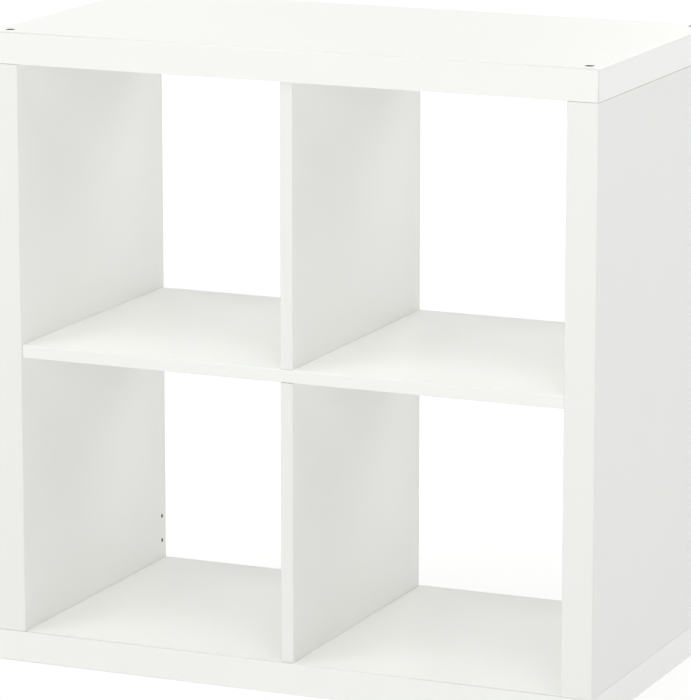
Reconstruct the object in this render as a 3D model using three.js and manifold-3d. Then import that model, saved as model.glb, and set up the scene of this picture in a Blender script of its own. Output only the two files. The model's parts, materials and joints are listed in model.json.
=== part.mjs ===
// Cube storage unit with four open compartments. Millimetres, +Z up, front at -Y.
// The origin is the middle of the footprint, on the floor.
import * as THREE from "three";
import { mergeGeometries, mergeVertices } from "three/addons/utils/BufferGeometryUtils.js";
import Module from "manifold-3d";

const wasm = await Module();
wasm.setup();

// Overall
const unitWidth = 765;
const unitDepth = 390;
const unitHeight = 765;
const jointGap = 0.15; // between two assembled pieces
const glueLine = 0.05; // between two glued layers

// Outer panels: two skins on a frame of rails, with a paper honeycomb inside
const panelThickness = 38;
const skinThickness = 3;
const railWidth = 50;
const bandThickness = 2;
const cellPitch = 88;
const paperThickness = 1.2;
const honeycombPlay = 0.6; // between the honeycomb and the rails

// Inner boards: the middle shelf and the two dividers
const boardThickness = 16;
const boardRecess = 3; // how far their edges stand back from the panels' edges

// Hex-socket screws through the top and bottom panels
const screwLength = 80;
const screwRadius = 3.5;
const screwTipLength = 5;
const headRadius = 5;
const headHeight = 3.5;
const headSink = 2; // the head's top below the panel's face
const socketAcrossFlats = 4;
const socketDepth = 2.4;
const screwInset = 21.5; // from the front and back edges

// Beech dowels
const dowelRadius = 4;
const dowelChamfer = 0.8;
const dowelInset = 37; // from the front and back edges
const dowelInPanel = 14;
const dowelInBoard = 21;
const cornerDowelInSide = 24;

// Drilled holes
const holeGap = 0.3; // round a screw's shank or a dowel
const headGap = 0.5; // round a screw's head
const holeEndGap = 1; // past its end
const pinHoleRadius = 2.5;
const pinHoleDepth = 10;
const pinHoleInset = 12; // from the back edge
const pinHoleHeights = [62, 94]; // above the floor
const breakout = 1; // how far a cutter runs past the face where a hole opens

// Meshing
const roundFacets = 12; // round a turned piece or a bore
const weldDistance = 1e-4; // vertices closer than this are merged

// Worked out from the sizes above
const sideHeight = unitHeight - 2 * panelThickness - 2 * jointGap;
const insideWidth = unitWidth - 2 * panelThickness;
const insideHeight = unitHeight - 2 * panelThickness;
const shelfLength = insideWidth - 2 * jointGap;
const dividerHeight = (insideHeight - boardThickness) / 2 - 2 * jointGap;
const boardDepth = unitDepth - 2 * boardRecess;
const sideMiddle = (unitWidth - panelThickness) / 2;
const unitMiddle = unitHeight / 2;
const dividerMiddle = (insideHeight + boardThickness) / 4; // from the middle of the shelf
const topJoint = unitHeight - panelThickness;
const bottomJoint = panelThickness;

const finishes = {
  lacquer: { color: 0xf7f7f4, roughness: 0.45, metalness: 0 },
  edging: { color: 0xf3f3f0, roughness: 0.4, metalness: 0 },
  foil: { color: 0xf4f4f1, roughness: 0.5, metalness: 0 },
  particleboard: { color: 0xc9ab7c, roughness: 0.9, metalness: 0 },
  paper: { color: 0xb99a6b, roughness: 0.95, metalness: 0 },
  steel: { color: 0x55565a, roughness: 0.4, metalness: 0.9 },
  beech: { color: 0xd8b588, roughness: 0.7, metalness: 0 },
};

function piece(name, geometry, finish) {
  const mesh = new THREE.Mesh(geometry, new THREE.MeshStandardMaterial(finishes[finish]));
  mesh.name = name;
  return mesh;
}

// Booleans: a closed three.js geometry to a manifold solid, and back
function toSolid(geometry) {
  const bare = geometry.clone();
  bare.deleteAttribute("normal");
  bare.deleteAttribute("uv");
  const merged = mergeVertices(bare, weldDistance);
  const mesh = new wasm.Mesh({
    numProp: 3,
    vertProperties: merged.attributes.position.array,
    triVerts: new Uint32Array(merged.index.array),
  });
  return new wasm.Manifold(mesh);
}

function toGeometry(solid) {
  const mesh = solid.getMesh();
  const geometry = new THREE.BufferGeometry();
  geometry.setAttribute("position", new THREE.BufferAttribute(mesh.vertProperties, 3));
  geometry.setIndex(new THREE.BufferAttribute(mesh.triVerts, 1));
  geometry.computeVertexNormals();
  return geometry;
}

function rectangle(length, depth) {
  return [
    new THREE.Vector2(-length / 2, -depth / 2),
    new THREE.Vector2(length / 2, -depth / 2),
    new THREE.Vector2(length / 2, depth / 2),
    new THREE.Vector2(-length / 2, depth / 2),
  ];
}

// A closed ring of rails, lying flat, its thickness centred on z = 0
function frameRing(length, depth, thickness) {
  const outline = new THREE.Shape(rectangle(length, depth));
  outline.holes.push(new THREE.Path(rectangle(length - 2 * railWidth, depth - 2 * railWidth)));
  const ring = new THREE.ExtrudeGeometry(outline, { depth: thickness, bevelEnabled: false });
  return ring.translate(0, 0, -thickness / 2);
}

// Paper honeycomb: a slab less a staggered pattern of hexagonal cells, closed round its edge by one
// thickness of paper
function honeycomb(length, depth, thickness) {
  const rowPitch = (cellPitch * Math.sqrt(3)) / 2;
  const cellRadius = (cellPitch - paperThickness) / Math.sqrt(3);
  const cutHeight = thickness + 2 * breakout;
  const columns = Math.ceil(length / cellPitch / 2) + 1;
  const rows = Math.ceil(depth / rowPitch / 2) + 1;
  const cells = [];
  for (let row = -rows; row <= rows; row++) {
    const shift = row % 2 === 0 ? 0 : cellPitch / 2;
    for (let column = -columns; column <= columns; column++) {
      const cell = new THREE.CylinderGeometry(cellRadius, cellRadius, cutHeight, 6);
      cell.rotateX(Math.PI / 2).translate(column * cellPitch + shift, row * rowPitch, 0);
      cells.push(cell);
    }
  }
  const slab = new THREE.BoxGeometry(length, depth, thickness);
  const innerLength = length - 2 * paperThickness;
  const innerDepth = depth - 2 * paperThickness;
  const inside = new THREE.BoxGeometry(innerLength, innerDepth, cutHeight + breakout);
  const openings = toSolid(mergeGeometries(cells)).intersect(toSolid(inside));
  return toGeometry(toSolid(slab).subtract(openings));
}

// A board-on-frame panel lying flat: length along x, outer face up. endBands names the bands on its
// low-x and high-x ends, where it has them.
function outerPanel(name, length, endBands = []) {
  const group = new THREE.Group();
  const bandRoom = bandThickness + glueLine;
  const coreLength = length - (endBands.length ? 2 * bandRoom : 0);
  const coreDepth = unitDepth - 2 * bandRoom;
  const frameThickness = panelThickness - 2 * (skinThickness + glueLine);
  const cavityLength = coreLength - 2 * railWidth - 2 * honeycombPlay;
  const cavityDepth = coreDepth - 2 * railWidth - 2 * honeycombPlay;
  const skin = new THREE.BoxGeometry(coreLength, coreDepth, skinThickness);
  const skinHeight = (panelThickness - skinThickness) / 2;
  const outerSkin = piece(name + "_outer_skin", skin, "lacquer");
  outerSkin.position.z = skinHeight;
  const innerSkin = piece(name + "_inner_skin", skin.clone(), "lacquer");
  innerSkin.position.z = -skinHeight;
  const frame = frameRing(coreLength, coreDepth, frameThickness);
  const core = honeycomb(cavityLength, cavityDepth, frameThickness);
  group.add(outerSkin, innerSkin);
  group.add(piece(name + "_frame", frame, "particleboard"));
  group.add(piece(name + "_honeycomb", core, "paper"));
  for (const side of [-1, 1]) {
    const long = new THREE.BoxGeometry(length, bandThickness, panelThickness);
    const band = piece(name + (side < 0 ? "_front_band" : "_back_band"), long, "edging");
    band.position.y = (side * (unitDepth - bandThickness)) / 2;
    group.add(band);
  }
  endBands.forEach((bandName, end) => {
    const short = new THREE.BoxGeometry(bandThickness, coreDepth, panelThickness);
    const band = piece(name + bandName, short, "edging");
    band.position.x = (end === 0 ? -1 : 1) * ((length - bandThickness) / 2);
    group.add(band);
  });
  return group;
}

// A solid board lying flat, its front and back edges banded
function innerBoard(name, length) {
  const group = new THREE.Group();
  const coreDepth = boardDepth - 2 * (bandThickness + glueLine);
  const core = new THREE.BoxGeometry(length, coreDepth, boardThickness);
  group.add(piece(name + "_board", core, "foil"));
  for (const side of [-1, 1]) {
    const strip = new THREE.BoxGeometry(length, bandThickness, boardThickness);
    const band = piece(name + (side < 0 ? "_front_band" : "_back_band"), strip, "edging");
    band.position.y = (side * (boardDepth - bandThickness)) / 2;
    group.add(band);
  }
  return group;
}

// A turned shape along z from its profile of [radius, height] points, which starts and ends on the axis
function turned(profile) {
  const points = profile.map(([radius, height]) => new THREE.Vector2(radius, height));
  return new THREE.LatheGeometry(points, roundFacets).rotateX(Math.PI / 2);
}

function bar(radius, length, chamfer) {
  return turned([
    [0, 0],
    [radius - chamfer, 0],
    [radius, chamfer],
    [radius, length - chamfer],
    [radius - chamfer, length],
    [0, length],
  ]);
}

function bore(radius, length) {
  return turned([[0, 0], [radius, 0], [radius, length], [0, length]]);
}

// A screw with its tip at z = 0 and its head up
function screwBody() {
  const body = turned([
    [0, 0],
    [screwRadius, screwTipLength],
    [screwRadius, screwLength - headHeight],
    [headRadius, screwLength - headHeight],
    [headRadius, screwLength],
    [0, screwLength],
  ]);
  const socketRadius = socketAcrossFlats / Math.sqrt(3);
  const socket = new THREE.CylinderGeometry(socketRadius, socketRadius, socketDepth + breakout, 6);
  socket.rotateX(Math.PI / 2).translate(0, 0, screwLength + (breakout - socketDepth) / 2);
  return toGeometry(toSolid(body).subtract(toSolid(socket)));
}

// The stepped hole that the screw sits in, in the screw's own place
function screwHole() {
  const wide = headRadius + headGap;
  const narrow = screwRadius + holeGap;
  const shoulder = screwLength - headHeight - holeGap;
  return turned([
    [0, -holeEndGap],
    [narrow, -holeEndGap],
    [narrow, shoulder],
    [wide, shoulder],
    [wide, screwLength + headSink + breakout],
    [0, screwLength + headSink + breakout],
  ]);
}

const unit = new THREE.Group();
const boards = new THREE.Group();
const fasteners = new THREE.Group();
unit.add(boards, fasteners);

const topPanel = outerPanel("top_panel", unitWidth, ["_left_band", "_right_band"]);
topPanel.position.z = unitHeight - panelThickness / 2;
const bottomPanel = outerPanel("bottom_panel", unitWidth, ["_right_band", "_left_band"]);
bottomPanel.rotation.y = Math.PI;
bottomPanel.position.z = panelThickness / 2;
const leftSide = outerPanel("left_side", sideHeight);
leftSide.rotation.y = -Math.PI / 2;
leftSide.position.set(-sideMiddle, 0, unitMiddle);
const rightSide = outerPanel("right_side", sideHeight);
rightSide.rotation.y = Math.PI / 2;
rightSide.position.set(sideMiddle, 0, unitMiddle);

const middleShelf = innerBoard("middle_shelf", shelfLength);
middleShelf.position.z = unitMiddle;
const upperDivider = innerBoard("upper_divider", dividerHeight);
upperDivider.rotation.y = Math.PI / 2;
upperDivider.position.z = unitMiddle + dividerMiddle;
const lowerDivider = innerBoard("lower_divider", dividerHeight);
lowerDivider.rotation.y = Math.PI / 2;
lowerDivider.position.z = unitMiddle - dividerMiddle;
boards.add(topPanel, bottomPanel, leftSide, rightSide, middleShelf, upperDivider, lowerDivider);

// Holes are kept in the unit's own space, and cut from every board that they meet at the end
const holes = [];

// A dowel from a low point, along x or z, with its hole round it
function addDowel(name, low, length, along) {
  const stick = bar(dowelRadius, length, dowelChamfer);
  const hole = bore(dowelRadius + holeGap, length + 2 * holeEndGap).translate(0, 0, -holeEndGap);
  if (along === "x") {
    stick.rotateY(Math.PI / 2);
    hole.rotateY(Math.PI / 2);
  }
  const dowel = piece("dowel_" + name, stick, "beech");
  dowel.position.set(...low);
  fasteners.add(dowel);
  holes.push(hole.translate(...low));
}

for (const [sideName, side] of [["left", -1], ["right", 1]]) {
  // Corner dowels, half way between the two screws of each corner
  const cornerLength = dowelInPanel + cornerDowelInSide;
  const cornerX = side * sideMiddle;
  addDowel("corner_top_" + sideName, [cornerX, 0, topJoint - cornerDowelInSide], cornerLength, "z");
  addDowel("corner_bottom_" + sideName, [cornerX, 0, bottomJoint - dowelInPanel], cornerLength, "z");

  for (const [rowName, row] of [["front", -1], ["back", 1]]) {
    // The ends of the middle shelf
    const dowelY = row * (unitDepth / 2 - dowelInset);
    const sideFace = (side * insideWidth) / 2;
    const lowX = sideFace - (side < 0 ? dowelInPanel : dowelInBoard);
    const shelfDowelLength = dowelInPanel + dowelInBoard;
    addDowel("shelf_" + sideName + "_" + rowName, [lowX, dowelY, unitMiddle], shelfDowelLength, "x");

    // Screws down through the top panel and up through the bottom panel, into the side panel
    const screwY = row * (unitDepth / 2 - screwInset);
    for (const [levelName, up] of [["top", true], ["bottom", false]]) {
      const screw = piece("screw_" + levelName + "_" + sideName + "_" + rowName, screwBody(), "steel");
      screw.rotation.y = up ? 0 : Math.PI;
      const tipHeight = headSink + screwLength;
      screw.position.set(side * sideMiddle, screwY, up ? unitHeight - tipHeight : tipHeight);
      fasteners.add(screw);
      screw.updateMatrix();
      holes.push(screwHole().applyMatrix4(screw.matrix));
    }
  }

  // The pair of pin holes low down near the back of each side panel's inner face
  for (const height of pinHoleHeights) {
    const hole = bore(pinHoleRadius, pinHoleDepth + breakout).rotateY(Math.PI / 2);
    const lowX = side < 0 ? -insideWidth / 2 - pinHoleDepth : insideWidth / 2 - breakout;
    holes.push(hole.translate(lowX, unitDepth / 2 - pinHoleInset, height));
  }
}

for (const [rowName, row] of [["front", -1], ["back", 1]]) {
  const dowelY = row * (unitDepth / 2 - dowelInset);
  const endLength = dowelInPanel + dowelInBoard;
  const throughLength = boardThickness + 2 * dowelInBoard;
  const throughLow = unitMiddle - throughLength / 2;
  addDowel("divider_top_" + rowName, [0, dowelY, topJoint - dowelInBoard], endLength, "z");
  addDowel("divider_through_" + rowName, [0, dowelY, throughLow], throughLength, "z");
  addDowel("divider_bottom_" + rowName, [0, dowelY, bottomJoint - dowelInPanel], endLength, "z");
}

// Drilling: each board loses the holes that reach it, taken into its own space
unit.updateMatrixWorld(true);
const holeBoxes = holes.map((hole) => new THREE.Box3().setFromBufferAttribute(hole.attributes.position));
boards.traverse((board) => {
  if (!board.isMesh) return;
  const boardBox = new THREE.Box3().setFromObject(board);
  const meeting = holes.filter((hole, index) => holeBoxes[index].intersectsBox(boardBox));
  if (!meeting.length) return;
  const toBoard = board.matrixWorld.clone().invert();
  let solid = toSolid(board.geometry);
  for (const hole of meeting) solid = solid.subtract(toSolid(hole.clone().applyMatrix4(toBoard)));
  board.geometry = toGeometry(solid);
});

export default unit;
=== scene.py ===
import json
import math

import bmesh
import bpy
from mathutils import Matrix, Vector

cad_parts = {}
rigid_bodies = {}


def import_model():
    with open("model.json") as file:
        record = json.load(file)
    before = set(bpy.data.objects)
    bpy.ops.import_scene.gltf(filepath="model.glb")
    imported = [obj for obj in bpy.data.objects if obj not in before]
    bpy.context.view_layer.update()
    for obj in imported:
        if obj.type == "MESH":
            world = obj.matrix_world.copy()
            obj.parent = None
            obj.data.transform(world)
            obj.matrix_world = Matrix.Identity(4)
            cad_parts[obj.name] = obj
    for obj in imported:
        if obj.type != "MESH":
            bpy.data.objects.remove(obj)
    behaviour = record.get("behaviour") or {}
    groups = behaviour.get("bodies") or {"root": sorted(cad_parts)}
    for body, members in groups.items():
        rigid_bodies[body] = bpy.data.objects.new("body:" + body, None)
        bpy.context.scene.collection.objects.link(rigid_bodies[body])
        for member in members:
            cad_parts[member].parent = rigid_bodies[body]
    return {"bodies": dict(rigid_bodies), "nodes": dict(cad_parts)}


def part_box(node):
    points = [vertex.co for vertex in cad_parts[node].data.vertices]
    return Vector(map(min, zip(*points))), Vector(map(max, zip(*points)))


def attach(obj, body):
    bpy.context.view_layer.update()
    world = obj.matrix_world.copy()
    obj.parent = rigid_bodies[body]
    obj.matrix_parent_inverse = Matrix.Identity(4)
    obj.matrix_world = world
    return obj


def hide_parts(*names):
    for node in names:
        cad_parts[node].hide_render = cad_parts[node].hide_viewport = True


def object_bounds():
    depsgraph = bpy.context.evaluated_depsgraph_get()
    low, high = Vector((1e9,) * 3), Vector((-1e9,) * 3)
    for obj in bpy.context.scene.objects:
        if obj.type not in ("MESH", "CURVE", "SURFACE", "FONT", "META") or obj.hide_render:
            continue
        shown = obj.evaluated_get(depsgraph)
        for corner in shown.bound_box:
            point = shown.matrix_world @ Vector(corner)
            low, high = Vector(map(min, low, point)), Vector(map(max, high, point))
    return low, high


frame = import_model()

scene = bpy.context.scene
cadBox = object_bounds()
unitLow = Vector(cadBox[0])
unitHigh = Vector(cadBox[1])
millimetre = 0.001


def startMaterial(name):
    material = bpy.data.materials.new(name)
    material.use_nodes = True
    tree = material.node_tree
    return material, tree, tree.nodes["Principled BSDF"]


def addNode(tree, kind, values=(), **settings):
    # values: (input name or index, value or output socket) pairs
    node = tree.nodes.new(kind)
    for setting, value in settings.items():
        setattr(node, setting, value)
    for key, value in values:
        if isinstance(value, bpy.types.NodeSocket):
            tree.links.new(value, node.inputs[key])
        else:
            node.inputs[key].default_value = value
    return node


def mapRange(tree, value, low, high, fromLow=0.0, fromHigh=1.0):
    values = ((0, value), (1, fromLow), (2, fromHigh), (3, low), (4, high))
    return addNode(tree, "ShaderNodeMapRange", values).outputs[0]


cameraView = {
    "place": (2.097, -4.825, 1.503),
    "turn": 23.58,     # degrees round Z, from looking along +Y towards -X
    "tilt": 12.09,     # degrees down
    "lens": 231.0,     # millimetres, on a sensor of the width below
    "sensor": 36,
    "farthest": 200,   # the camera sees nothing farther away
}


def makeCamera(view):
    data = bpy.data.cameras.new("camera")
    data.lens = view["lens"]
    data.sensor_width = view["sensor"]
    data.clip_end = view["farthest"]
    camera = bpy.data.objects.new("camera", data)
    camera.location = view["place"]
    camera.rotation_euler = (math.radians(90 - view["tilt"]), 0, math.radians(view["turn"]))
    scene.collection.objects.link(camera)
    scene.camera = camera


makeCamera(cameraView)
scene.view_settings.view_transform = "Standard"
scene.view_settings.look = "None"
print("camera placed")

studio = {
    "floorSize": 60,
    "floorColour": (0.36, 0.36, 0.36),
    "floorRoughness": 0.9,
    "floorSpecular": 0.1,
    "floorGlow": 0.661,      # round the unit
    "farGlow": 0.97,         # where the floor runs out of sight
    "glowStarts": 3.0,       # how far from the unit the glow begins to rise
    "glowEnds": 6.5,         # and where it has risen
    "surroundings": 0.25,    # light from the white room all round
    "backdrop": 1.0,         # how bright the room itself looks
    "lookAt": (0, 0, 0.4),   # every softbox faces this place
    "distance": 6,
    "boxSize": 3,
    "lowestBox": 1.5,        # a softbox never hangs lower than this
    "lightColour": (0.994, 1.0, 0.974),
    # name, degrees round from the front towards the right, degrees up, watts
    "softboxes": (
        ("left_high_softbox", -70, 65, 70.8),
        ("left_softbox", -35, 35, 69.7),
        ("right_low_softbox", 35, 5, 61.0),
        ("right_high_softbox", 35, 65, 82.0),
        ("back_right_softbox", 140, 35, 69.5),
        ("back_softbox", 180, 35, 99.5),
        ("back_left_softbox", -140, 35, 40.7),
    ),
}


def makeSurroundings(setup):
    # the room lights the unit softly, and looks as bright as the far floor
    world = bpy.data.worlds.new("studio")
    world.use_nodes = True
    tree = world.node_tree
    background = tree.nodes["Background"]
    background.inputs["Color"].default_value = (*setup["lightColour"], 1)
    direct = addNode(tree, "ShaderNodeLightPath").outputs["Is Camera Ray"]
    brightness = mapRange(tree, direct, setup["surroundings"], setup["backdrop"])
    tree.links.new(brightness, background.inputs["Strength"])
    scene.world = world


def makeFloor(setup):
    half = setup["floorSize"] / 2
    mesh = bpy.data.meshes.new("floor")
    corners = [(-half, -half, 0), (half, -half, 0), (half, half, 0), (-half, half, 0)]
    mesh.from_pydata(corners, [], [(0, 1, 2, 3)])
    floor = bpy.data.objects.new("floor", mesh)
    scene.collection.objects.link(floor)
    material, tree, shader = startMaterial("studio_floor")
    shader.inputs["Base Color"].default_value = (*setup["floorColour"], 1)
    shader.inputs["Roughness"].default_value = setup["floorRoughness"]
    shader.inputs["Specular IOR Level"].default_value = setup["floorSpecular"]
    shader.inputs["Emission Color"].default_value = (1, 1, 1, 1)
    place = addNode(tree, "ShaderNodeTexCoord").outputs["Object"]
    distance = addNode(tree, "ShaderNodeVectorMath", ((0, place),), operation="LENGTH").outputs["Value"]
    levels = (setup["floorGlow"], setup["farGlow"], setup["glowStarts"], setup["glowEnds"])
    glow = mapRange(tree, distance, *levels)
    tree.links.new(glow, shader.inputs["Emission Strength"])
    mesh.materials.append(material)


def hangSoftbox(setup, name, around, up, watts):
    data = bpy.data.lights.new(name, "AREA")
    data.shape = "SQUARE"
    data.size = setup["boxSize"]
    data.energy = watts
    data.color = setup["lightColour"]
    light = bpy.data.objects.new(name, data)
    aside = Matrix.Rotation(math.radians(around), 3, "Z")
    raised = Matrix.Rotation(math.radians(-up), 3, "X")
    direction = aside @ raised @ Vector((0, -1, 0))
    target = Vector(setup["lookAt"])
    light.location = target + direction * setup["distance"]
    light.location.z = max(light.location.z, setup["lowestBox"])
    light.rotation_euler = (target - light.location).to_track_quat("-Z", "Y").to_euler()
    scene.collection.objects.link(light)


def makeStudio(setup):
    makeFloor(setup)
    makeSurroundings(setup)
    for softbox in setup["softboxes"]:
        hangSoftbox(setup, *softbox)


makeStudio(studio)
print("studio set up")


def blendColours(tree, factor, first, second):
    # a colour is three numbers, or the output of a node
    colours = [
        colour if isinstance(colour, bpy.types.NodeSocket) else (*colour, 1)
        for colour in (first, second)
    ]
    values = ((0, factor), (6, colours[0]), (7, colours[1]))
    return addNode(tree, "ShaderNodeMix", values, data_type="RGBA").outputs[2]


def addNoise(tree, scale, detail, where=None):
    # noise on the piece's own coordinates, or on others
    where = where or addNode(tree, "ShaderNodeTexCoord").outputs["Object"]
    values = (("Vector", where), ("Scale", scale), ("Detail", detail))
    return addNode(tree, "ShaderNodeTexNoise", values).outputs["Fac"]


def addBump(tree, shader, height, strength, distance):
    values = (("Height", height), ("Strength", strength), ("Distance", distance))
    bump = addNode(tree, "ShaderNodeBump", values)
    tree.links.new(bump.outputs["Normal"], shader.inputs["Normal"])


def paintedMaterial(name, look):
    # a smooth white finish: slight drift of tone, fine orange peel and a soft change of gloss
    material, tree, shader = startMaterial(name)
    drift = addNoise(tree, look["driftScale"], detail=3)
    fleck = addNoise(tree, look["fleckScale"], detail=2)
    peel = addNoise(tree, look["peelScale"], detail=3)
    tone = mapRange(tree, drift, 0, 1, *look["driftRange"])
    base = blendColours(tree, tone, look["colour"], look["otherColour"])
    speck = mapRange(tree, fleck, 0, look["fleck"], *look["fleckRange"])
    colour = blendColours(tree, speck, base, look["fleckColour"])
    tree.links.new(colour, shader.inputs["Base Color"])
    roughness, swing = look["roughness"], look["glossSwing"]
    gloss = mapRange(tree, peel, roughness - swing, roughness + swing)
    tree.links.new(gloss, shader.inputs["Roughness"])
    addBump(tree, shader, peel, look["peel"], look["peelHeight"])
    shader.inputs["Specular IOR Level"].default_value = look["specular"]
    return material


lacquerLook = {
    "colour": (0.935, 0.938, 0.921),
    "otherColour": (0.927, 0.930, 0.913),
    "fleckColour": (0.900, 0.902, 0.886),
    "driftScale": 7,              # patches of slightly different tone
    "driftRange": (0.3, 0.7),
    "fleckScale": 420,            # faint flecks
    "fleckRange": (0.45, 0.75),
    "fleck": 0.10,
    "roughness": 0.42,
    "glossSwing": 0.03,
    "specular": 0.3,
    "peelScale": 900,             # orange peel
    "peel": 0.25,
    "peelHeight": 0.2 * millimetre,
}
edgingLook = dict(lacquerLook, roughness=0.3, specular=0.5, peelScale=1400, peel=0.12)
foilLook = dict(lacquerLook, roughness=0.46, peelScale=1100, peel=0.3)
uprightShade = 0.952   # painted shade: the upright boards' colour is made a little darker than that of the level ones, standing in for the darker shading their faces show


def shadedCopy(look, tone):
    # painted shade: a copy of a look with every colour darkened by the given share
    darker = dict(look)
    for key in ("colour", "otherColour", "fleckColour"):
        darker[key] = tuple(channel * tone for channel in look[key])
    return darker


def plainAndShadedPair(name, look):
    # (level boards, upright boards whose colour is darkened as painted shade)
    return paintedMaterial(name, look), paintedMaterial(name + "_upright_painted_shade", shadedCopy(look, uprightShade))


# the second material of each pair carries painted shade for the upright boards
lacquer = plainAndShadedPair("satin_lacquer", lacquerLook)
edging = plainAndShadedPair("satin_edging", edgingLook)
foil = plainAndShadedPair("satin_foil", foilLook)


def boardCoreMaterial(name, look):
    # pressed wood: chips or fibres of mixed tone
    material, tree, shader = startMaterial(name)
    where = addNode(tree, "ShaderNodeTexCoord").outputs["Object"]
    chips = addNode(tree, "ShaderNodeTexVoronoi", (("Vector", where), ("Scale", look["chipScale"])))
    fibreScale = look["chipScale"] * look["fibresPerChip"]
    fibres = addNoise(tree, fibreScale, detail=6, where=where)
    tone = addNode(tree, "ShaderNodeSeparateColor", (("Color", chips.outputs["Color"]),))
    chipColour = blendColours(tree, tone.outputs[0], look["light"], look["dark"])
    shade = mapRange(tree, fibres, 0, look["gapShade"], *look["gapRange"])
    colour = blendColours(tree, shade, chipColour, look["gap"])
    tree.links.new(colour, shader.inputs["Base Color"])
    addBump(tree, shader, chips.outputs["Distance"], look["relief"], look["reliefHeight"])
    shader.inputs["Roughness"].default_value = look["roughness"]
    shader.inputs["Specular IOR Level"].default_value = look["specular"]
    return material


chipboardLook = {
    "chipScale": 380,
    "fibresPerChip": 3,
    "light": (0.62, 0.45, 0.27),
    "dark": (0.42, 0.28, 0.15),
    "gap": (0.24, 0.15, 0.08),
    "gapShade": 0.6,
    "gapRange": (0.4, 0.8),
    "relief": 0.6,
    "reliefHeight": 0.3 * millimetre,
    "roughness": 0.9,
    "specular": 0.2,
}
fibreboardLook = dict(
    chipboardLook,
    chipScale=1500,
    light=(0.25, 0.18, 0.12),
    dark=(0.19, 0.13, 0.09),
    gap=(0.12, 0.08, 0.05),
)
chipboard = boardCoreMaterial("chipboard", chipboardLook)
fibreboard = boardCoreMaterial("fibreboard", fibreboardLook)


def metalMaterial(name, look):
    # dull steel, its tone and gloss broken up alike
    material, tree, shader = startMaterial(name)
    grime = addNoise(tree, look["grimeScale"], detail=4)
    colour = blendColours(tree, grime, look["colour"], look["otherColour"])
    tree.links.new(colour, shader.inputs["Base Color"])
    gloss = mapRange(tree, grime, *look["roughness"])
    tree.links.new(gloss, shader.inputs["Roughness"])
    shader.inputs["Metallic"].default_value = 1
    return material


screwSteelLook = {
    "colour": (0.16, 0.16, 0.17),
    "otherColour": (0.09, 0.09, 0.10),
    "grimeScale": 900,
    "roughness": (0.32, 0.54),
}
screwSteel = metalMaterial("dark_screw_steel", screwSteelLook)


def beechMaterial(name, look):
    # straight grain along the dowel, with short darker flecks
    material, tree, shader = startMaterial(name)
    place = addNode(tree, "ShaderNodeAttribute", attribute_name="grain").outputs["Vector"]
    stretch = ((0, place), (1, (1, 1, look["stretch"])))
    along = addNode(tree, "ShaderNodeVectorMath", stretch, operation="MULTIPLY").outputs[0]
    grain = addNoise(tree, look["grainScale"], detail=6, where=along)
    flecks = addNode(tree, "ShaderNodeTexVoronoi", (("Vector", along), ("Scale", look["fleckScale"])))
    colour = blendColours(tree, grain, look["light"], look["dark"])
    spots = mapRange(tree, flecks.outputs["Distance"], 0, look["fleckStrength"], look["fleckReach"], 0)
    colour = blendColours(tree, spots, colour, look["fleck"])
    tree.links.new(colour, shader.inputs["Base Color"])
    addBump(tree, shader, grain, look["relief"], look["reliefHeight"])
    shader.inputs["Roughness"].default_value = look["roughness"]
    return material


beechLook = {
    "light": (0.66, 0.45, 0.27),
    "dark": (0.52, 0.33, 0.18),
    "fleck": (0.36, 0.21, 0.11),
    "stretch": 0.12,     # less than 1 draws the grain out along the dowel
    "grainScale": 1200,
    "fleckScale": 900,
    "fleckStrength": 0.5,
    "fleckReach": 0.5,
    "relief": 0.4,
    "reliefHeight": 0.2 * millimetre,
    "roughness": 0.7,
}
beech = beechMaterial("turned_beech", beechLook)


def paperMaterial(name, look):
    # brown paper with mixed fibres
    material, tree, shader = startMaterial(name)
    fibres = addNoise(tree, look["fibreScale"], detail=8)
    colour = blendColours(tree, fibres, look["light"], look["dark"])
    tree.links.new(colour, shader.inputs["Base Color"])
    shader.inputs["Roughness"].default_value = look["roughness"]
    shader.inputs["Specular IOR Level"].default_value = look["specular"]
    return material


kraftLook = {
    "light": (0.52, 0.38, 0.23),
    "dark": (0.36, 0.25, 0.14),
    "fibreScale": 700,
    "roughness": 0.95,
    "specular": 0.1,
}
kraft = paperMaterial("kraft_paper", kraftLook)
print("materials made")


def addBox(bm, low, high):
    size = high - low
    place = Matrix.Translation((low + high) / 2) @ Matrix.Diagonal((*size, 1))
    bmesh.ops.create_cube(bm, size=1, matrix=place)


def addTurned(bm, profile, place, sides):
    # profile: (radius, height) pairs from the axis to the axis
    rings = []
    for radius, height in profile:
        if radius == 0:
            rings.append([bm.verts.new(place @ Vector((0, 0, height)))])
            continue
        ring = []
        for step in range(sides):
            angle = 2 * math.pi * step / sides
            point = Vector((radius * math.cos(angle), radius * math.sin(angle), height))
            ring.append(bm.verts.new(place @ point))
        rings.append(ring)
    for lower, upper in zip(rings, rings[1:]):
        for step in range(sides):
            following = (step + 1) % sides
            corners = [lower[step % len(lower)], lower[following % len(lower)]]
            corners += [upper[following % len(upper)], upper[step % len(upper)]]
            bm.faces.new(list(dict.fromkeys(corners)))


def objectFrom(bm, name, materials):
    mesh = bpy.data.meshes.new(name)
    bm.to_mesh(mesh)
    bm.free()
    for material in materials:
        mesh.materials.append(material)
    piece = bpy.data.objects.new(name, mesh)
    scene.collection.objects.link(piece)
    return piece


def applyModifiers(piece):
    graph = bpy.context.evaluated_depsgraph_get()
    finished = bpy.data.meshes.new_from_object(
        piece.evaluated_get(graph), preserve_all_data_layers=True, depsgraph=graph
    )
    piece.modifiers.clear()
    piece.data = finished


def fitToFrame(piece, slotName, *nodes):
    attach(piece, body)
    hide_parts(*nodes)


def isUpright(node):
    return node.startswith(("left", "right", "upper", "lower"))


def pieceName(node):
    return node + "_finished"


body = next(iter(frame["bodies"]))   # the only one: nothing on the unit moves
nodeNames = sorted(frame["nodes"])
touching = 1e-6   # metres: closer than this is the same place

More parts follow.
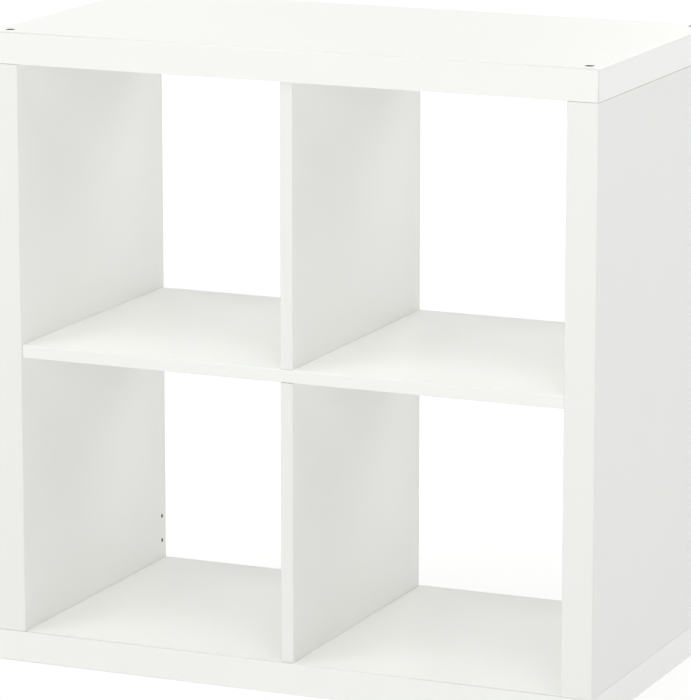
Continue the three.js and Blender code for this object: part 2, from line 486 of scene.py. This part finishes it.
screwShape = {
    "sides": 32,
    "tipRadius": 0.6 * millimetre,
    "tipLength": 5 * millimetre,
    "coreRadius": 2.6 * millimetre,
    "shankRadius": 3.5 * millimetre,
    "neckLength": 14 * millimetre,   # plain shank under the head
    "neckEase": 0.8 * millimetre,
    "headHeight": 3.5 * millimetre,
    "headEase": 0.5 * millimetre,
    "pitch": 3.0 * millimetre,
    "threadRoot": 0.36,    # half the thread's width at the core, as a share of the pitch
    "threadCrest": 0.06,   # and at its crest
    "threadSunk": 0.3,     # how far its root lies inside the core, as a share of its height
    "stepsPerTurn": 20,
    "socketAcrossFlats": 4 * millimetre,
    "socketDepth": 2.4 * millimetre,
    "sharpAngle": 32,
}
drilling = {
    "sides": 48,
    "gap": 0.3 * millimetre,       # round a shank or a dowel, and under a screw's head
    "headGap": 0.5 * millimetre,   # round a screw's head
    "endGap": 1.0 * millimetre,    # past the end of a screw or a dowel
    "breakout": 3.0 * millimetre,  # how far a bit runs out past the face that a hole opens in
}
pinHole = {
    "radius": 2.5 * millimetre,
    "depth": 10 * millimetre,
    "fromBack": 12 * millimetre,
    "heights": (62 * millimetre, 94 * millimetre),
}


def longAxis(low, high):
    size = high - low
    return max(range(3), key=lambda axis: size[axis])


def alongAxis(axis, low, high):
    # places a shape built up +Z so that it starts at the low end of a box and runs along its axis
    centre = (low + high) / 2
    centre[axis] = low[axis]
    turn = Matrix.Identity(4) if axis == 2 else Matrix.Rotation(math.pi / 2, 4, "Y")
    return Matrix.Translation(centre) @ turn


def screwPlace(node):
    # the place of a screw built with its tip at z = 0 and its head up
    low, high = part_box(node)
    centre = (low + high) / 2
    if centre.z > unitHigh.z / 2:
        centre.z = low.z
        return Matrix.Translation(centre)
    centre.z = high.z
    return Matrix.Translation(centre) @ Matrix.Rotation(math.pi, 4, "Y")


def drillCutters():
    # (low, high, profile, place) for each hole in the unit
    cutters = []
    for node in nodeNames:
        low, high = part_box(node)
        if node.startswith("screw"):
            length = high.z - low.z
            wide = (high.x - low.x) / 2 + drilling["headGap"]
            narrow = screwShape["shankRadius"] + drilling["gap"]
            shoulder = length - screwShape["headHeight"] - drilling["gap"]
            top = length + drilling["breakout"]
            profile = [
                (0, -drilling["endGap"]), (narrow, -drilling["endGap"]),
                (narrow, shoulder), (wide, shoulder), (wide, top), (0, top),
            ]
            cutters.append((low, high, profile, screwPlace(node)))
        if node.startswith("dowel"):
            axis = longAxis(low, high)
            length = high[axis] - low[axis]
            radius = (high.y - low.y) / 2 + drilling["gap"]
            ends = (-drilling["endGap"], length + drilling["endGap"])
            profile = [(0, ends[0]), (radius, ends[0]), (radius, ends[1]), (0, ends[1])]
            cutters.append((low, high, profile, alongAxis(axis, low, high)))
    for skin, outward in (("left_side_inner_skin", 1), ("right_side_inner_skin", -1)):
        low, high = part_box(skin)
        face = high.x if outward > 0 else low.x
        length = pinHole["depth"] + drilling["breakout"]
        for height in pinHole["heights"]:
            start = face - pinHole["depth"] if outward > 0 else face - drilling["breakout"]
            centre = Vector((start, unitHigh.y - pinHole["fromBack"], height))
            place = Matrix.Translation(centre) @ Matrix.Rotation(math.pi / 2, 4, "Y")
            profile = [(0, 0), (pinHole["radius"], 0), (pinHole["radius"], length), (0, length)]
            reach = Vector((length, pinHole["radius"], pinHole["radius"]))
            cutters.append((centre - reach, centre + reach, profile, place))
    return cutters


allCutters = drillCutters()


def meets(low, high, otherLow, otherHigh, slack):
    # whether two boxes touch or nearly touch
    return all(
        low[axis] <= otherHigh[axis] + slack and otherLow[axis] <= high[axis] + slack
        for axis in range(3)
    )


def drill(piece, low, high):
    # cuts every hole that reaches the piece's box
    near = [cut for cut in allCutters if meets(low, high, cut[0], cut[1], drilling["endGap"])]
    if not near:
        return
    bm = bmesh.new()
    for _, _, profile, place in near:
        addTurned(bm, profile, place, drilling["sides"])
    bmesh.ops.recalc_face_normals(bm, faces=bm.faces)
    cutter = objectFrom(bm, "drill_bits", [])
    cut = piece.modifiers.new("drill", "BOOLEAN")
    cut.operation = "DIFFERENCE"
    cut.solver = "EXACT"
    cut.object = cutter
    applyModifiers(piece)
    bpy.data.objects.remove(cutter)


boardFinish = {
    "squareness": 0.99,             # how squarely a finished face looks along the board's thickness
    "flatness": 0.02 * millimetre,
    "lip": 0.25 * millimetre,       # eased rim of a hole in a finished face
    "lipSteps": 2,
    "rimEdge": 2 * millimetre,      # longer edges belong to the board, shorter ones to a hole's rim
    "smoothUnder": 60 * millimetre ** 2,   # faces larger than this are shaded flat
    "sharpAngle": 12,
}


def thinAxis(low, high):
    size = high - low
    return min(range(3), key=lambda axis: size[axis])


def finishFaces(piece, axis):
    # finished faces keep material 0, sawn edges and hole walls get material 1, and hole rims are eased
    bm = bmesh.new()
    bm.from_mesh(piece.data)
    levels = [vert.co[axis] for vert in bm.verts]
    surfaces = (min(levels), max(levels))
    for face in bm.faces:
        isFlat = abs(face.normal[axis]) > boardFinish["squareness"]
        level = face.calc_center_median()[axis]
        offSurface = min(abs(level - surface) for surface in surfaces)
        isFinished = isFlat and offSurface < boardFinish["flatness"]
        face.material_index = 0 if isFinished else 1
    rims = []
    for edge in bm.edges:
        kinds = {face.material_index for face in edge.link_faces}
        if kinds == {0, 1} and edge.calc_length() < boardFinish["rimEdge"]:
            rims.append(edge)
    if rims:
        bmesh.ops.bevel(
            bm,
            geom=rims,
            offset=boardFinish["lip"],
            segments=boardFinish["lipSteps"],
            profile=0.5,
            affect="EDGES",
            material=0,
        )
    for face in bm.faces:
        face.smooth = face.calc_area() < boardFinish["smoothUnder"]
    bm.to_mesh(piece.data)
    bm.free()
    piece.data.set_sharp_from_angle(angle=math.radians(boardFinish["sharpAngle"]))


def makeBoard(node, materials, slotName):
    low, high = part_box(node)
    bm = bmesh.new()
    addBox(bm, low, high)
    piece = objectFrom(bm, pieceName(node), materials)
    drill(piece, low, high)
    finishFaces(piece, thinAxis(low, high))
    fitToFrame(piece, slotName, node)


for node in nodeNames:
    if node.endswith("_skin"):
        makeBoard(node, (lacquer[isUpright(node)], fibreboard), "white_lacquer")
    if node.endswith("_board"):
        makeBoard(node, (foil[isUpright(node)], chipboard), "white_foil")
print("skins and boards made")

rails = {
    "width": 50 * millimetre,
    "butt": 0.1 * millimetre,   # open line where an end rail meets a long rail
    "sharpAngle": 25,
}


def makeFrame(node):
    # two long rails the full length, and two short rails between them
    low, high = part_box(node)
    axis = thinAxis(low, high)
    along = 2 if axis == 0 else 0
    bm = bmesh.new()
    frontEnd = high.copy()
    frontEnd.y = low.y + rails["width"]
    addBox(bm, low, frontEnd)
    backStart = low.copy()
    backStart.y = high.y - rails["width"]
    addBox(bm, backStart, high)
    for atLow in (True, False):
        shortLow = low.copy()
        shortHigh = high.copy()
        shortLow.y = frontEnd.y + rails["butt"]
        shortHigh.y = backStart.y - rails["butt"]
        if atLow:
            shortHigh[along] = low[along] + rails["width"]
        else:
            shortLow[along] = high[along] - rails["width"]
        addBox(bm, shortLow, shortHigh)
    piece = objectFrom(bm, pieceName(node), (chipboard,))
    drill(piece, low, high)
    piece.data.shade_smooth()
    piece.data.set_sharp_from_angle(angle=math.radians(rails["sharpAngle"]))
    fitToFrame(piece, "particleboard", node)


for node in nodeNames:
    if node.endswith("_frame"):
        makeFrame(node)
print("frames made")

edgeBand = {
    "radius": 0.97,        # of a free arris, as a share of the band's thickness
    "jointRadius": 0.25,   # of an arris that meets another panel
    "steps": 7,
    "sharpAngle": 35,
}


def makeBand(node):
    # the outer face's long edges are rounded, and its ends too where the band runs round a free corner
    low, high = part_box(node)
    axis = thinAxis(low, high)
    centre = (low + high) / 2
    middle = (unitLow + unitHigh) / 2
    outward = 1 if centre[axis] > middle[axis] else -1
    face = high[axis] if outward > 0 else low[axis]
    along = longAxis(low, high)
    isLevelPanel = node.startswith(("top", "bottom"))
    freeEnds = axis == 1 and isLevelPanel
    jointHeight = low.z if centre.z > middle.z else high.z
    bm = bmesh.new()
    addBox(bm, low, high)
    weights = bm.edges.layers.float.new("bevel_weight_edge")
    for edge in bm.edges:
        onFace = all(abs(vert.co[axis] - face) < touching for vert in edge.verts)
        direction = edge.verts[1].co - edge.verts[0].co
        isLong = abs(direction[along]) > touching
        atJoint = all(abs(vert.co.z - jointHeight) < touching for vert in edge.verts)
        meetsPanel = isLevelPanel and atJoint
        if onFace and (isLong or freeEnds):
            edge[weights] = edgeBand["jointRadius"] if meetsPanel else edgeBand["radius"]
    piece = objectFrom(bm, pieceName(node), (edging[isUpright(node)],))
    rounding = piece.modifiers.new("rounding", "BEVEL")
    rounding.limit_method = "WEIGHT"
    rounding.offset_type = "OFFSET"
    rounding.width = high[axis] - low[axis]
    rounding.segments = edgeBand["steps"]
    rounding.harden_normals = True
    piece.data.shade_smooth()
    piece.data.set_sharp_from_angle(angle=math.radians(edgeBand["sharpAngle"]))
    applyModifiers(piece)
    fitToFrame(piece, "white_edging", node)


for node in nodeNames:
    if node.endswith("_band"):
        makeBand(node)
print("edge bands made")


def startTree(name, inputs):
    # inputs: (name, socket kind, starting value)
    tree = bpy.data.node_groups.new(name, "GeometryNodeTree")
    tree.is_modifier = True
    tree.interface.new_socket("Geometry", in_out="INPUT", socket_type="NodeSocketGeometry")
    for label, kind, value in inputs:
        socket = tree.interface.new_socket(label, in_out="INPUT", socket_type="NodeSocket" + kind)
        if value is not None:
            socket.default_value = value
    tree.interface.new_socket("Geometry", in_out="OUTPUT", socket_type="NodeSocketGeometry")
    return tree, tree.nodes.new("NodeGroupInput").outputs


def finishTree(tree, geometry, given, sharpAngle):
    # puts the piece in its place, shades it, and ends in real geometry with its material
    placed = addNode(
        tree,
        "GeometryNodeTransform",
        (("Geometry", geometry), ("Rotation", given["Turn"]), ("Translation", given["Place"])),
    ).outputs[0]
    real = addNode(tree, "GeometryNodeRealizeInstances", (("Geometry", placed),)).outputs[0]
    smooth = addNode(tree, "GeometryNodeSetShadeSmooth", (("Geometry", real),), domain="FACE").outputs[0]
    angle = addNode(tree, "GeometryNodeInputMeshEdgeAngle").outputs["Unsigned Angle"]
    gentle = addNode(
        tree, "FunctionNodeCompare", ((0, angle), (1, math.radians(sharpAngle))), operation="LESS_THAN"
    ).outputs[0]
    eased = addNode(
        tree,
        "GeometryNodeSetShadeSmooth",
        (("Geometry", smooth), ("Shade Smooth", gentle)),
        domain="EDGE",
    ).outputs[0]
    dressed = addNode(
        tree, "GeometryNodeSetMaterial", (("Geometry", eased), ("Material", given["Material"]))
    ).outputs[0]
    result = tree.nodes.new("NodeGroupOutput")
    tree.links.new(dressed, result.inputs[0])


def growPiece(name, mesh, tree, values):
    # runs a tree on a mesh with the given inputs, and keeps the plain mesh that comes out
    piece = bpy.data.objects.new(name, mesh)
    scene.collection.objects.link(piece)
    grower = piece.modifiers.new("grower", "NODES")
    grower.node_group = tree
    for item in tree.interface.items_tree:
        if item.in_out == "INPUT" and item.name in values:
            grower[item.identifier] = values[item.name]
    applyModifiers(piece)
    slots = piece.data.materials
    for index in reversed(range(len(slots))):
        if slots[index] is None:
            slots.pop(index=index)
    return piece


placeInputs = [("Place", "Vector", None), ("Turn", "Rotation", None), ("Material", "Material", None)]


def mathNode(tree, operation, first, second):
    return addNode(tree, "ShaderNodeMath", ((0, first), (1, second)), operation=operation).outputs[0]


def vectorNode(tree, x=0.0, y=0.0, z=0.0):
    return addNode(tree, "ShaderNodeCombineXYZ", ((0, x), (1, y), (2, z))).outputs[0]


def moved(tree, geometry, place):
    return addNode(
        tree, "GeometryNodeTransform", (("Geometry", geometry), ("Translation", place))
    ).outputs[0]


def makeThreadTree(shape):
    # a helical thread wound round the body that comes in, and a hexagonal socket sunk in its head
    tree, given = startTree(
        "threaded_screw",
        [
            ("Thread Start", "Float", None),
            ("Thread Length", "Float", None),
            ("Pitch", "Float", shape["pitch"]),
            ("Core Radius", "Float", shape["coreRadius"]),
            ("Crest Radius", "Float", shape["shankRadius"]),
            ("Steps per Turn", "Int", shape["stepsPerTurn"]),
            ("Head Top", "Float", None),
            ("Socket Across Flats", "Float", shape["socketAcrossFlats"]),
            ("Socket Depth", "Float", shape["socketDepth"]),
            *placeInputs,
        ],
    )
    helix = addNode(
        tree,
        "GeometryNodeCurveSpiral",
        (
            ("Resolution", given["Steps per Turn"]),
            ("Rotations", mathNode(tree, "DIVIDE", given["Thread Length"], given["Pitch"])),
            ("Start Radius", given["Core Radius"]),
            ("End Radius", given["Core Radius"]),
            ("Height", given["Thread Length"]),
            ("Reverse", True),
        ),
    ).outputs[0]
    upright = addNode(tree, "GeometryNodeSetCurveNormal", (("Curve", helix),), mode="Z_UP").outputs[0]
    height = mathNode(tree, "SUBTRACT", given["Crest Radius"], given["Core Radius"])
    sunk = mathNode(tree, "MULTIPLY", height, -shape["threadSunk"])
    root = mathNode(tree, "MULTIPLY", given["Pitch"], shape["threadRoot"])
    crest = mathNode(tree, "MULTIPLY", given["Pitch"], shape["threadCrest"])
    lowRoot = mathNode(tree, "MULTIPLY", root, -1)
    lowCrest = mathNode(tree, "MULTIPLY", crest, -1)
    corners = ((sunk, lowRoot), (height, lowCrest), (height, crest), (sunk, root))
    ridge = addNode(
        tree,
        "GeometryNodeCurvePrimitiveQuadrilateral",
        [(f"Point {index}", vectorNode(tree, *corner)) for index, corner in enumerate(corners, 1)],
        mode="POINTS",
    ).outputs[0]
    thread = addNode(
        tree,
        "GeometryNodeCurveToMesh",
        (("Curve", upright), ("Profile Curve", ridge), ("Fill Caps", True)),
    ).outputs[0]
    thread = moved(tree, thread, vectorNode(tree, z=given["Thread Start"]))
    hexagon = addNode(
        tree,
        "GeometryNodeMeshCylinder",
        (
            ("Vertices", 6),
            ("Radius", mathNode(tree, "DIVIDE", given["Socket Across Flats"], math.sqrt(3))),
            ("Depth", mathNode(tree, "MULTIPLY", given["Socket Depth"], 2)),
        ),
    ).outputs[0]
    socket = moved(tree, hexagon, vectorNode(tree, z=given["Head Top"]))
    socketed = addNode(
        tree,
        "GeometryNodeMeshBoolean",
        (("Mesh 1", given["Geometry"]), ("Mesh 2", socket)),
        operation="DIFFERENCE",
        solver="EXACT",
    ).outputs[0]
    joined = tree.nodes.new("GeometryNodeJoinGeometry")
    tree.links.new(socketed, joined.inputs[0])
    tree.links.new(thread, joined.inputs[0])
    finishTree(tree, joined.outputs[0], given, shape["sharpAngle"])
    return tree


threadGrower = makeThreadTree(screwShape)


def makeScrew(node, shape):
    low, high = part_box(node)
    length = high.z - low.z
    headRadius = (high.x - low.x) / 2
    shoulder = length - shape["headHeight"]
    neckStart = shoulder - shape["neckLength"]
    core, neck, ease = shape["coreRadius"], shape["shankRadius"], shape["headEase"]
    profile = [
        (0, 0), (shape["tipRadius"], 0), (core, shape["tipLength"]),
        (core, neckStart - shape["neckEase"]), (neck, neckStart),
        (neck, shoulder), (headRadius - ease, shoulder), (headRadius, shoulder + ease),
        (headRadius, length - ease), (headRadius - ease, length), (0, length),
    ]
    bm = bmesh.new()
    addTurned(bm, profile, Matrix.Identity(4), shape["sides"])
    bmesh.ops.recalc_face_normals(bm, faces=bm.faces)
    blank = bpy.data.meshes.new("screw_blank")
    bm.to_mesh(blank)
    bm.free()
    place, turn, _ = screwPlace(node).decompose()
    values = {
        "Thread Start": shape["tipLength"],
        "Thread Length": neckStart - shape["neckEase"] - shape["tipLength"],
        "Head Top": length,
        "Place": place,
        "Turn": turn.to_euler(),
        "Material": screwSteel,
    }
    piece = growPiece(pieceName(node), blank, threadGrower, values)
    fitToFrame(piece, "screw_steel", node)


for node in nodeNames:
    if node.startswith("screw"):
        makeScrew(node, screwShape)
print("screws made")

dowelShape = {
    "flutes": 12,
    "stepsPerFlute": 6,
    "fluteDepth": 0.35 * millimetre,
    "chamfer": 0.8 * millimetre,
    "sharpAngle": 40,
}


def makeDowelTree(shape):
    # a fluted stick with chamfered ends, from z = 0 up; "grain" keeps each point's place in the stick
    tree, given = startTree(
        "fluted_dowel",
        [
            ("Length", "Float", None),
            ("Radius", "Float", None),
            ("Flutes", "Int", shape["flutes"]),
            ("Steps per Flute", "Int", shape["stepsPerFlute"]),
            ("Flute Depth", "Float", shape["fluteDepth"]),
            ("Chamfer", "Float", shape["chamfer"]),
            *placeInputs,
        ],
    )
    around = mathNode(tree, "MULTIPLY", given["Flutes"], given["Steps per Flute"])
    circle = addNode(
        tree, "GeometryNodeCurvePrimitiveCircle", (("Resolution", around), ("Radius", 1.0))
    ).outputs[0]
    step = addNode(tree, "GeometryNodeInputIndex").outputs[0]
    turnPerStep = mathNode(tree, "DIVIDE", 2 * math.pi, given["Steps per Flute"])
    wave = mathNode(tree, "COSINE", mathNode(tree, "MULTIPLY", step, turnPerStep), 0.0)
    groove = mathNode(tree, "MAXIMUM", wave, 0.0)
    share = mathNode(tree, "DIVIDE", given["Flute Depth"], given["Radius"])
    inward = mathNode(tree, "SUBTRACT", 1.0, mathNode(tree, "MULTIPLY", groove, share))
    spot = addNode(tree, "GeometryNodeInputPosition").outputs[0]
    scaled = addNode(
        tree, "ShaderNodeVectorMath", (("Vector", spot), ("Scale", inward)), operation="SCALE"
    ).outputs[0]
    section = addNode(
        tree, "GeometryNodeSetPosition", (("Geometry", circle), ("Position", scaled))
    ).outputs[0]
    # the path has four points: its two ends, and a shoulder at each chamfer
    line = addNode(
        tree, "GeometryNodeCurvePrimitiveLine", (("End", vectorNode(tree, z=given["Length"])),)
    ).outputs[0]
    path = addNode(tree, "GeometryNodeResampleCurve", (("Curve", line), ("Count", 4))).outputs[0]
    ends = addNode(tree, "GeometryNodeCurveEndpointSelection").outputs[0]
    between = addNode(tree, "FunctionNodeBooleanMath", ((0, ends),), operation="NOT").outputs[0]
    upperHalf = addNode(
        tree,
        "FunctionNodeCompare",
        ((0, addNode(tree, "GeometryNodeSplineParameter").outputs["Factor"]), (1, 0.5)),
        operation="GREATER_THAN",
    ).outputs[0]
    shoulder = addNode(
        tree,
        "GeometryNodeSwitch",
        (
            ("Switch", upperHalf),
            ("False", given["Chamfer"]),
            ("True", mathNode(tree, "SUBTRACT", given["Length"], given["Chamfer"])),
        ),
        input_type="FLOAT",
    ).outputs[0]
    path = addNode(
        tree,
        "GeometryNodeSetPosition",
        (("Geometry", path), ("Selection", between), ("Position", vectorNode(tree, z=shoulder))),
    ).outputs[0]
    endRadius = mathNode(tree, "SUBTRACT", given["Radius"], given["Chamfer"])
    radius = addNode(
        tree,
        "GeometryNodeSwitch",
        (("Switch", ends), ("False", given["Radius"]), ("True", endRadius)),
        input_type="FLOAT",
    ).outputs[0]
    stick = addNode(
        tree,
        "GeometryNodeCurveToMesh",
        (("Curve", path), ("Profile Curve", section), ("Scale", radius), ("Fill Caps", True)),
    ).outputs[0]
    grained = addNode(
        tree,
        "GeometryNodeStoreNamedAttribute",
        (("Geometry", stick), ("Name", "grain"), ("Value", spot)),
        data_type="FLOAT_VECTOR",
        domain="POINT",
    ).outputs[0]
    finishTree(tree, grained, given, shape["sharpAngle"])
    return tree


dowelGrower = makeDowelTree(dowelShape)


def makeDowel(node):
    low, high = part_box(node)
    axis = longAxis(low, high)
    place, turn, _ = alongAxis(axis, low, high).decompose()
    values = {
        "Length": high[axis] - low[axis],
        "Radius": (high.y - low.y) / 2,
        "Place": place,
        "Turn": turn.to_euler(),
        "Material": beech,
    }
    piece = growPiece(pieceName(node), bpy.data.meshes.new("dowel_blank"), dowelGrower, values)
    fitToFrame(piece, "beech", node)


for node in nodeNames:
    if node.startswith("dowel"):
        makeDowel(node)
print("dowels made")

honeycombShape = {
    "cellWidth": 25 * millimetre,     # about this, so that a whole number fits
    "paper": 0.4 * millimetre,
    "wallGap": 0.05 * millimetre,     # between the papers of two neighbouring cells
    "sharpAngle": 30,
}


def makeHoneycombTree(shape):
    # rows of six-sided paper cells, every other row half a cell along, lying flat round z = 0
    tree, given = startTree(
        "paper_honeycomb",
        [
            ("Columns", "Int", None),
            ("Row Pairs", "Int", None),
            ("Cell Width", "Float", shape["cellWidth"]),
            ("Row Pitch", "Float", None),
            ("Thickness", "Float", None),
            ("Paper", "Float", shape["paper"]),
            ("Wall Gap", "Float", shape["wallGap"]),
            *placeInputs,
        ],
    )
    hexagon = addNode(
        tree, "GeometryNodeCurvePrimitiveCircle", (("Resolution", 6), ("Radius", 1.0))
    ).outputs[0]
    # a cell is twice its point radius long, and the square root of three times that radius wide
    slack = mathNode(tree, "ADD", given["Paper"], given["Wall Gap"])
    clearWidth = mathNode(tree, "SUBTRACT", given["Cell Width"], slack)
    clearPitch = mathNode(tree, "SUBTRACT", given["Row Pitch"], slack)
    acrossX = mathNode(tree, "DIVIDE", clearWidth, math.sqrt(3))
    acrossY = mathNode(tree, "DIVIDE", clearPitch, 1.5)
    pointed = addNode(
        tree, "GeometryNodeTransform", (("Geometry", hexagon), ("Rotation", (0, 0, math.radians(30))))
    ).outputs[0]
    outline = addNode(
        tree,
        "GeometryNodeTransform",
        (("Geometry", pointed), ("Scale", vectorNode(tree, acrossX, acrossY, 1.0))),
    ).outputs[0]
    upright = addNode(tree, "GeometryNodeSetCurveNormal", (("Curve", outline),), mode="Z_UP").outputs[0]
    strip = addNode(
        tree,
        "GeometryNodeCurvePrimitiveQuadrilateral",
        (("Width", given["Paper"]), ("Height", given["Thickness"])),
    ).outputs[0]
    cell = addNode(
        tree, "GeometryNodeCurveToMesh", (("Curve", upright), ("Profile Curve", strip))
    ).outputs[0]
    # two grids of cells, the second half a cell along and one row on
    pairPitch = mathNode(tree, "MULTIPLY", given["Row Pitch"], 2)
    gapsX = mathNode(tree, "SUBTRACT", given["Columns"], 1)
    gapsY = mathNode(tree, "SUBTRACT", given["Row Pairs"], 1)
    lengthX = mathNode(tree, "MULTIPLY", gapsX, given["Cell Width"])
    lengthY = mathNode(tree, "MULTIPLY", gapsY, pairPitch)
    joined = tree.nodes.new("GeometryNodeJoinGeometry")
    for side in (-1, 1):
        grid = addNode(
            tree,
            "GeometryNodeMeshGrid",
            (
                ("Size X", lengthX),
                ("Size Y", lengthY),
                ("Vertices X", given["Columns"]),
                ("Vertices Y", given["Row Pairs"]),
            ),
        ).outputs[0]
        shiftX = mathNode(tree, "MULTIPLY", given["Cell Width"], side * 0.25)
        shiftY = mathNode(tree, "MULTIPLY", given["Row Pitch"], side * 0.5)
        shifted = moved(tree, grid, vectorNode(tree, shiftX, shiftY))
        cells = addNode(
            tree, "GeometryNodeInstanceOnPoints", (("Points", shifted), ("Instance", cell))
        ).outputs[0]
        tree.links.new(cells, joined.inputs[0])
    finishTree(tree, joined.outputs[0], given, shape["sharpAngle"])
    return tree


honeycombGrower = makeHoneycombTree(honeycombShape)


def makeHoneycomb(node, shape):
    low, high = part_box(node)
    size = high - low
    axis = thinAxis(low, high)
    length = size.z if axis == 0 else size.x
    columns = round(length / shape["cellWidth"] - 0.5)
    cellWidth = length / (columns + 0.5)
    # a stack of rows is one point-to-point cell deep, and one row pitch more for each further row
    rowPairs = round((size.y / (cellWidth * math.sqrt(3) / 2) - 1 / 3) / 2)
    rowPitch = size.y / (2 * rowPairs + 1 / 3)
    values = {
        "Columns": columns,
        "Row Pairs": rowPairs,
        "Cell Width": cellWidth,
        "Row Pitch": rowPitch,
        "Thickness": size[axis],
        "Place": (low + high) / 2,
        "Turn": (0, math.pi / 2, 0) if axis == 0 else (0, 0, 0),
        "Material": kraft,
    }
    piece = growPiece(pieceName(node), bpy.data.meshes.new("honeycomb_blank"), honeycombGrower, values)
    fitToFrame(piece, "paper", node)


for node in nodeNames:
    if node.endswith("_honeycomb"):
        makeHoneycomb(node, honeycombShape)
print("honeycombs made")
